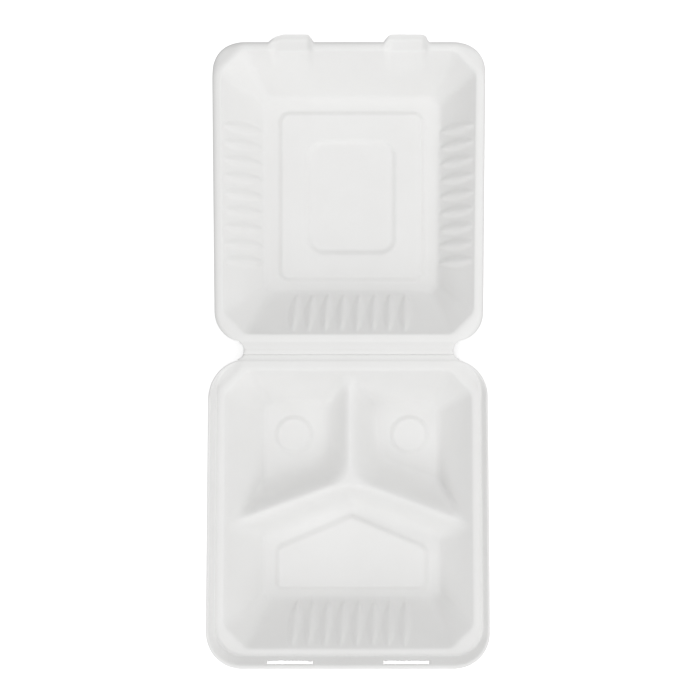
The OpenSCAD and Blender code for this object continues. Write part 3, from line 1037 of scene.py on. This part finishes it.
specks = fibre.node("ShaderNodeTexVoronoi", {"feature": "F1"}, {"Vector": place, "Scale": 22.0})
near_speck = 1.0 - fibre.value(specks, "Distance") * 60.0
speck_dice = fibre.node("ShaderNodeSeparateColor", {}, {"Color": specks.outputs["Color"]})
speck = (near_speck > 0.0) * (fibre.value(speck_dice, 0) > BARE_SHARE) * 0.75
colour = fibre.node("ShaderNodeMix", {"data_type": "RGBA"}, {
    "Factor": speck, 6: body_colour, 7: SPECK_COLOUR,
}).outputs[2]
print("cells with a speck: about", round(100 * (1 - BARE_SHARE)), "%")

# %% [markdown]
# The print of the wire is there only on the underside, which the sheet carries as a mask. It could
# be modelled, but at a few hundredths of a millimetre a bump shows the same.

# %% Relief of the fibre
under = fibre.value(fibre.node("ShaderNodeAttribute", {"attribute_name": "underside"}), "Fac")
wire = []
for way in ("X", "Y"):
    bands = fibre.node("ShaderNodeTexWave", {"bands_direction": way}, {"Vector": place, "Scale": 210.0})
    wire.append(fibre.value(bands, "Fac"))
relief = strand * 0.6 + fleck * 0.4 + under * wire[0] * wire[1] * 1.2
bump = fibre.node("ShaderNodeBump", {}, {"Strength": 0.35, "Distance": 0.00012, "Height": relief})
surface = fibre.node("ShaderNodeBsdfPrincipled", {}, {
    "Base Color": colour, "Roughness": 0.62 + 0.16 * cloud, "Normal": bump.outputs[0],
    "Specular IOR Level": 0.28,
})
fibre.node("ShaderNodeOutputMaterial", {}, {"Surface": surface.outputs[0]})
print("nodes in the fibre:", len(fibre.tree.nodes))

# %% [markdown]
# ## What moves with what
# The two sheets ride on the two bodies of the model and stand for its solids. The strip over the
# fold rides on neither body: it stays where it lies.

# %% The pieces in their places
for piece in pieces.values():
    piece.data.materials.append(fibre.material)
for name in ("base", "lid"):
    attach(pieces[name], name)
    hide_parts(name)
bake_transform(pieces["fold"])
print("pieces:", [piece.name for piece in pieces.values()])

# %% [markdown]
# ## The studio
# The photograph shows the box from straight above on pure white. The floor is a pale sheet that
# is white to the camera and still takes the shadow of the box. To the box it is a mid grey, so
# that little light comes up under its edge.

# %% Floor
FLOOR_HALF = 6.0

paper = Finish("studio_floor")
pale = paper.node("ShaderNodeBsdfDiffuse", {}, {"Color": (0.9, 0.9, 0.9, 1.0)})
glow = paper.node("ShaderNodeEmission", {}, {"Color": (1, 1, 1, 1), "Strength": 0.5})
both = paper.node("ShaderNodeAddShader", {}, {0: pale.outputs[0], 1: glow.outputs[0]})
shaded = paper.node("ShaderNodeBsdfDiffuse", {}, {"Color": (0.5, 0.5, 0.5, 1.0)})
seen = paper.node("ShaderNodeLightPath").outputs["Is Camera Ray"]
chosen = paper.node("ShaderNodeMixShader", {}, {0: seen, 1: shaded.outputs[0], 2: both.outputs[0]})
paper.node("ShaderNodeOutputMaterial", {}, {"Surface": chosen.outputs[0]})
corners = [(FLOOR_HALF * x, FLOOR_HALF * y, 0) for x, y in ((-1, -1), (1, -1), (1, 1), (-1, 1))]
floor_mesh = bpy.data.meshes.new("studio_floor")
floor_mesh.from_pydata(corners, [], [(0, 1, 2, 3)])
floor = bpy.data.objects.new("studio_floor", floor_mesh)
bpy.context.scene.collection.objects.link(floor)
floor.data.materials.append(paper.material)
print("floor:", 2 * FLOOR_HALF, "m wide")

# %% [markdown]
# ## Light
# An even white sky fills the shadows. Soft boxes stand in front on both sides and above, and
# a smaller one far to the right and low, which draws the ribs of the right wall. A lamp
# behind on the right makes the lid brighter toward its upper right corner.

# %% Light
world = bpy.data.worlds.new("studio")
world.use_nodes = True
world.node_tree.nodes["Background"].inputs["Color"].default_value = (1.0, 1.0, 1.0, 1.0)
world.node_tree.nodes["Background"].inputs["Strength"].default_value = 0.475
bpy.context.scene.world = world


def soft_light(name, place, size, power):
    """A square area light that looks at the box."""
    lamp = bpy.data.lights.new(name, "AREA")
    lamp.size = size
    lamp.energy = power
    light = bpy.data.objects.new(name, lamp)
    light.location = place
    back = light.location.copy()
    light.rotation_mode = "QUATERNION"
    light.rotation_quaternion = back.to_track_quat("Z", "Y")
    bpy.context.scene.collection.objects.link(light)
    return light


soft_light("softbox_front", (0.0, -1.6, 1.2), 1.2, 6.28)
soft_light("softbox_front_left", (-1.2, -1.2, 1.2), 1.2, 7.88)
soft_light("softbox_front_right", (1.2, -1.2, 1.2), 1.2, 2.98)
soft_light("softbox_above", (0.06, 0.0, 2.2), 1.0, 7.67)
soft_light("softbox_right", (1.9, -0.2, 0.45), 0.8, 4.26)
soft_light("lamp_behind", (0.45, 0.5, 0.7), 0.3, 1.7)

# %% [markdown]
# ## Camera
# The eye is high over the box and looks straight down, so that the rims stay parallel to the
# picture. The picture was framed off the axis, and the shift of the lens repeats that.

# %% Camera
EYE = (0.0591, 0.0169, 0.908)
AIM = (0.0011, 0.0)
FIELD = 0.5138
EYE_OVER_RIM = EYE[2] - RIM_Z * MM
eye = bpy.data.cameras.new("eye")
eye.sensor_width = 36.0
eye.lens = eye.sensor_width * EYE_OVER_RIM / FIELD
eye.shift_x = (AIM[0] - EYE[0]) / FIELD
eye.shift_y = (AIM[1] - EYE[1]) / FIELD
eye.clip_start, eye.clip_end = 0.01, 50.0
camera = bpy.data.objects.new("eye", eye)
camera.location = EYE
bpy.context.scene.collection.objects.link(camera)
bpy.context.scene.camera = camera
bpy.context.scene.view_settings.view_transform = "Standard"
print("lens", round(eye.lens, 2), "shift", round(eye.shift_x, 4), round(eye.shift_y, 4))
